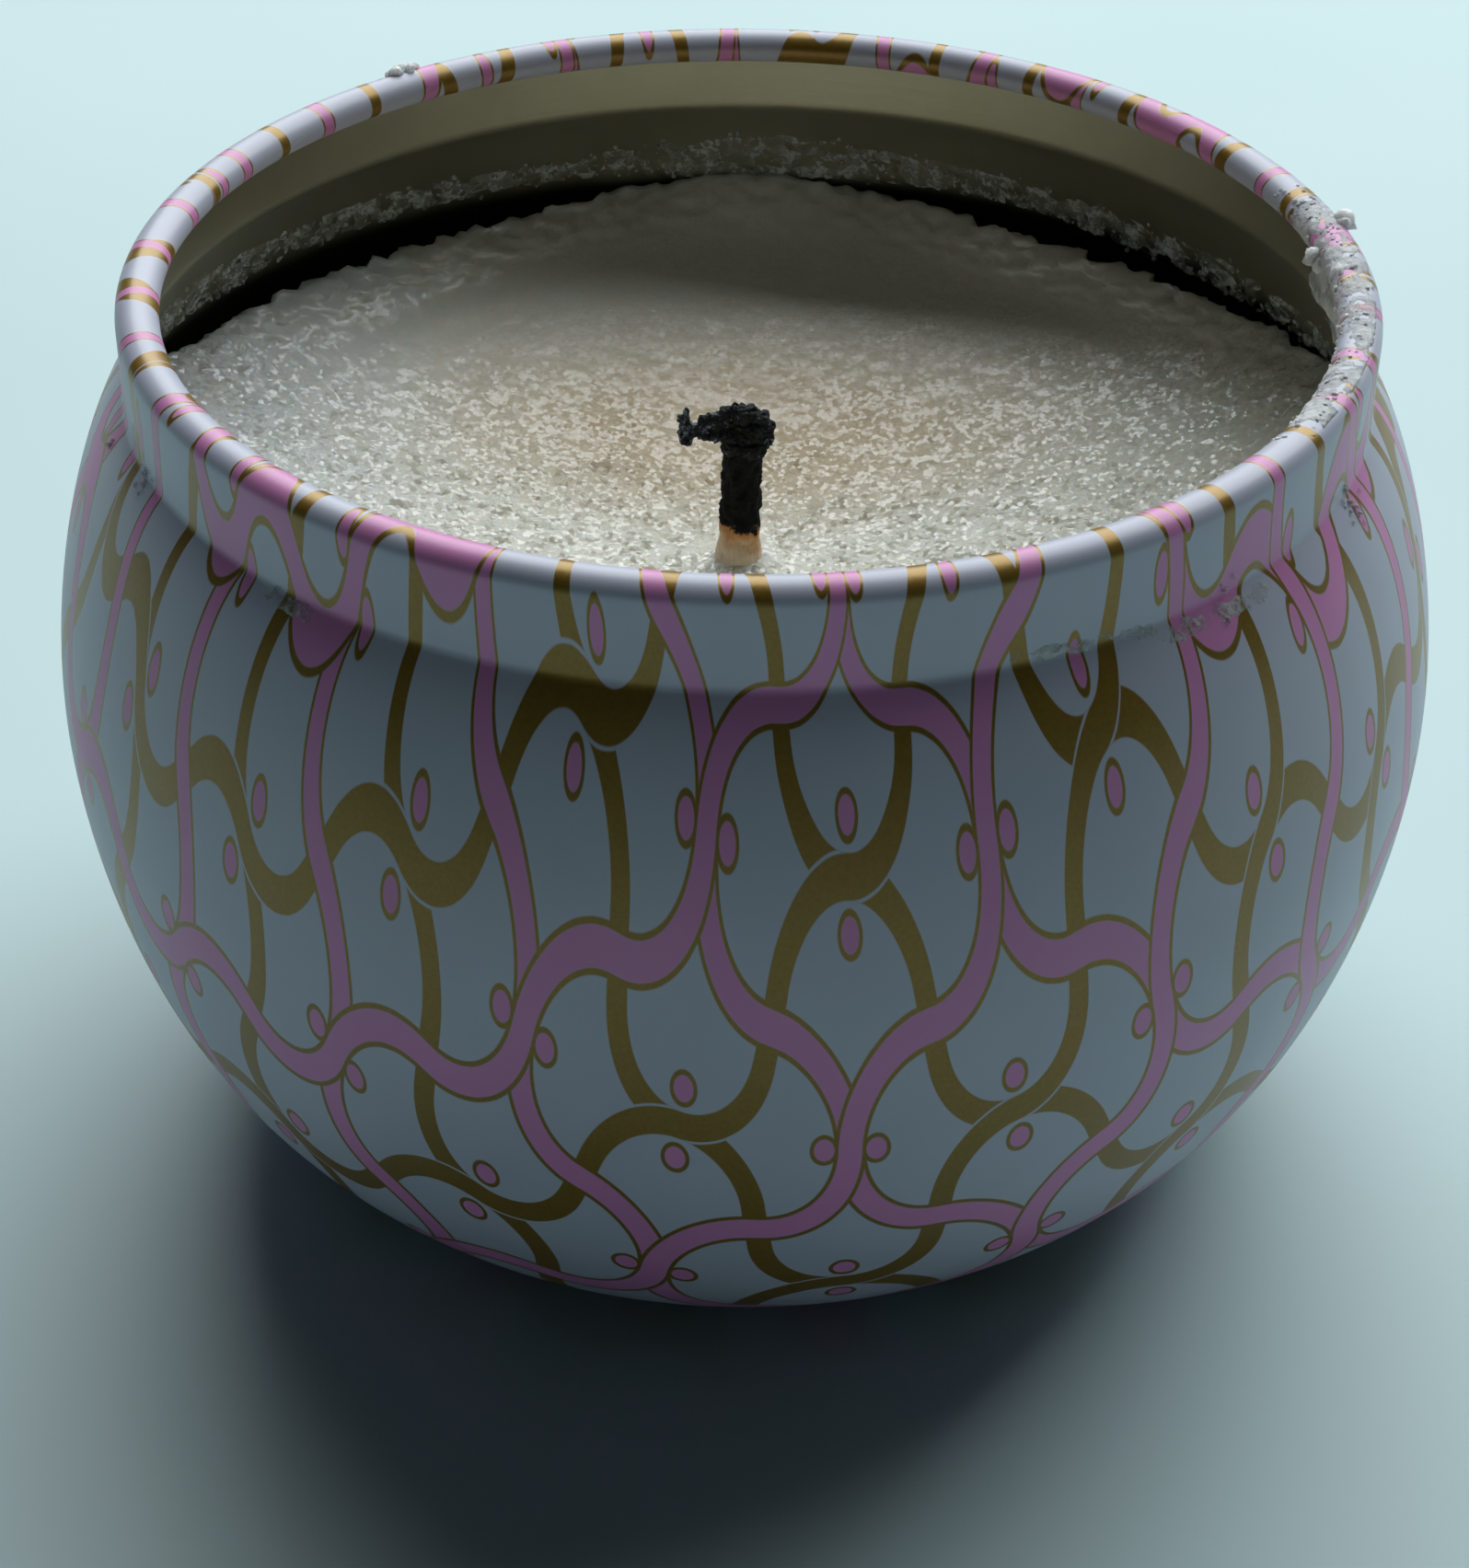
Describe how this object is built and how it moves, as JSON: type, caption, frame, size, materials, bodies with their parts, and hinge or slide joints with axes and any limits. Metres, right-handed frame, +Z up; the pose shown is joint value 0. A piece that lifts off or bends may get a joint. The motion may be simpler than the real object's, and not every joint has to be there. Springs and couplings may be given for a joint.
{
  "type": "candle tin",
  "caption": "Round bulging candle tin with a straight neck and rolled rim, burnt wax, a charred wick in a crimped sustainer, and wax left on wall, rim and shoulder.",
  "frame": {"origin": "centre of the ring that the tin stands on, at floor level, on the tin's axis", "axes": "+Z up along the tin's axis, out of its mouth; -Y towards the viewer of the front; +X to the viewer's right"},
  "size_m": [0.077, 0.077, 0.0518],
  "materials": {
    "printed_tinplate": "gloss litho print on tinplate, bare lacquered metal inside",
    "candle_wax": "cream wax, glossy and crystalline",
    "wick_cotton": "waxed braided cotton, charred black at the top",
    "carbon": "matte black carbon with grey ash",
    "bare_tinplate": "bright stamped tinplate",
    "foam_sticker": "white double-sided foam sticker",
    "frosted_wax": "thin frosted wax"
  },
  "bodies": {
    "root": {"tin_shell": "printed_tinplate", "wax_fill": "candle_wax", "wick": "wick_cotton", "carbon_head": "carbon", "wick_sustainer": "bare_tinplate", "wick_sticker": "foam_sticker", "wall_wax_film": "frosted_wax", "rim_wax_crust": "frosted_wax", "crease_wax": "frosted_wax"}
  },
  "joints": []
}
